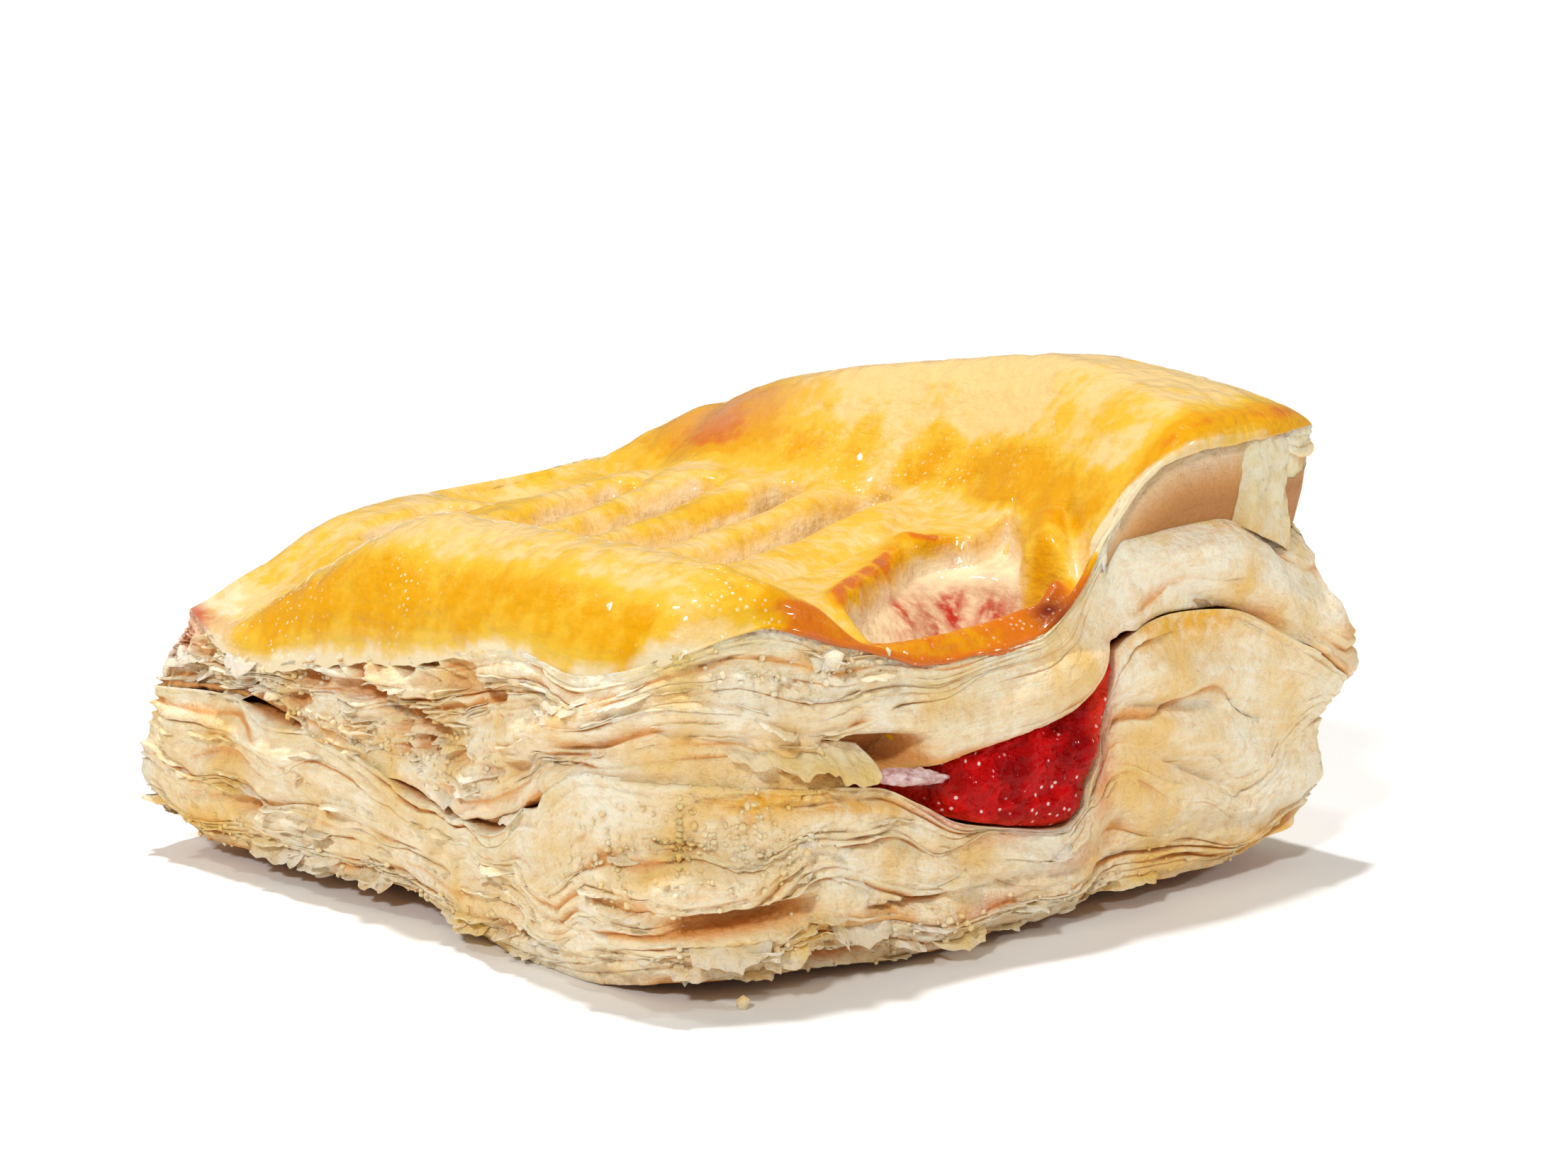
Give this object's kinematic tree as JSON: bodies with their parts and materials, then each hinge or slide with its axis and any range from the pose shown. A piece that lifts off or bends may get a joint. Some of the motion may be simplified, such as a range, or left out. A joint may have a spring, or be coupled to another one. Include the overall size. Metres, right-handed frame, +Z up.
{
  "type": "guava pastry",
  "caption": "Square flaky pastry baked round a guava filling that shows between its layered dough sheets, with a glazed, slit crust on top.",
  "frame": {"origin": "on the ground under the middle of the pastry's box", "axes": "+Z up; -Y out of the side where the filling shows, +X along that side from the low ridge to the high hump"},
  "size_m": [0.0982, 0.1028, 0.056],
  "materials": {
    "dough": "dry, flaky, pale cream layers",
    "crust": "golden crust with an egg glaze",
    "guava": "wet, glossy, deep red"
  },
  "bodies": {
    "root": {"lower_sheet": "dough", "guava_filling": "guava", "upper_sheet": "crust"}
  },
  "joints": []
}
